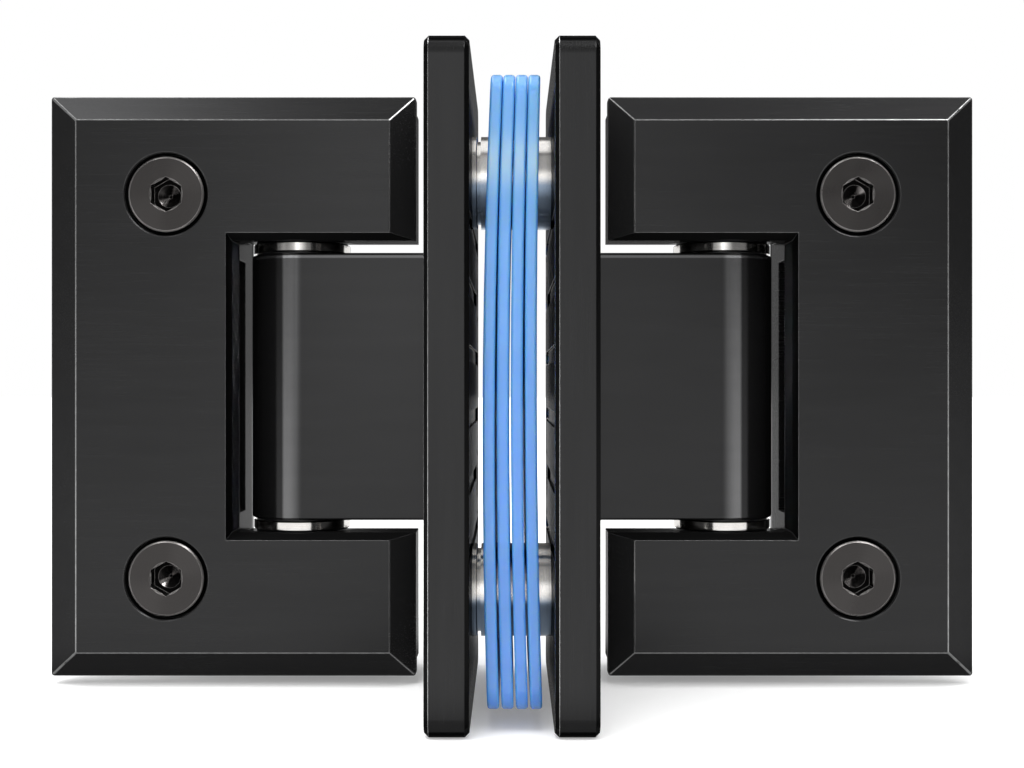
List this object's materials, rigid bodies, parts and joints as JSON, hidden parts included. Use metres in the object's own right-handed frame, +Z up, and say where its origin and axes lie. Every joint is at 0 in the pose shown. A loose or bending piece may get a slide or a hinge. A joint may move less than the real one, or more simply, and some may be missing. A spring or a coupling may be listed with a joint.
{
  "type": "three-way glass door hinge",
  "caption": "Three-way hinge for glass doors: a fixed glass clamp with a round-ended knuckle on either side, each in the notch of a bevelled door clamp.",
  "frame": {"origin": "mid height, where the middle plane of the two door panels crosses the middle plane of the fixed glass", "axes": "+X to the right door clamp, +Y away from the fixed glass, +Z up along the pivot pins"},
  "size_m": [0.144, 0.059, 0.093],
  "materials": {
    "black_metal": "satin black, finely brushed along X",
    "polished_steel": "polished stainless steel",
    "dark_steel": "black oxide",
    "plain_steel": "ground steel",
    "spring_steel": "oiled spring steel",
    "black_nylon": "matt nylon",
    "blue_gasket": "pale blue see-through PVC",
    "grey_gasket": "matt grey PVC"
  },
  "bodies": {
    "fixed_clamp": {"fixed_clamp_screws": "dark_steel", "gasket_1": "blue_gasket", "gasket_2": "blue_gasket", "gasket_3": "blue_gasket", "gasket_4": "blue_gasket", "left_fixed_plate": "black_metal", "left_knuckle": "black_metal", "left_knuckle_screws": "dark_steel", "left_lower_bush": "black_nylon", "left_lower_plunger": "plain_steel", "left_lower_spring": "spring_steel", "left_upper_bush": "black_nylon", "left_upper_plunger": "plain_steel", "left_upper_spring": "spring_steel", "lower_clamp_sleeve": "polished_steel", "lower_sleeve_collar": "polished_steel", "right_fixed_plate": "black_metal", "right_knuckle": "black_metal", "right_knuckle_screws": "dark_steel", "right_lower_bush": "black_nylon", "right_lower_plunger": "plain_steel", "right_lower_spring": "spring_steel", "right_upper_bush": "black_nylon", "right_upper_plunger": "plain_steel", "right_upper_spring": "spring_steel", "upper_clamp_sleeve": "polished_steel", "upper_sleeve_collar": "polished_steel"},
    "left_door_clamp": {"left_clamp_screws": "dark_steel", "left_front_gasket": "grey_gasket", "left_front_plate": "black_metal", "left_lower_barrel": "plain_steel", "left_lower_ring": "black_nylon", "left_lower_washer": "polished_steel", "left_pivot_pin": "plain_steel", "left_rear_gasket": "grey_gasket", "left_rear_plate": "black_metal", "left_upper_barrel": "plain_steel", "left_upper_ring": "black_nylon", "left_upper_washer": "polished_steel"},
    "right_door_clamp": {"right_clamp_screws": "dark_steel", "right_front_gasket": "grey_gasket", "right_front_plate": "black_metal", "right_lower_barrel": "plain_steel", "right_lower_ring": "black_nylon", "right_lower_washer": "polished_steel", "right_pivot_pin": "plain_steel", "right_rear_gasket": "grey_gasket", "right_rear_plate": "black_metal", "right_upper_barrel": "plain_steel", "right_upper_ring": "black_nylon", "right_upper_washer": "polished_steel"}
  },
  "joints": [
    {"name": "left_door_pivot", "type": "hinge", "parent": "fixed_clamp", "child": "left_door_clamp", "pos_m": [-0.034, 0, 0], "axis": [0, 0, 1], "range_deg": [-90, 90]},
    {"name": "right_door_pivot", "type": "hinge", "parent": "fixed_clamp", "child": "right_door_clamp", "pos_m": [0.034, 0, 0], "axis": [0, 0, 1], "range_deg": [-90, 90]}
  ]
}
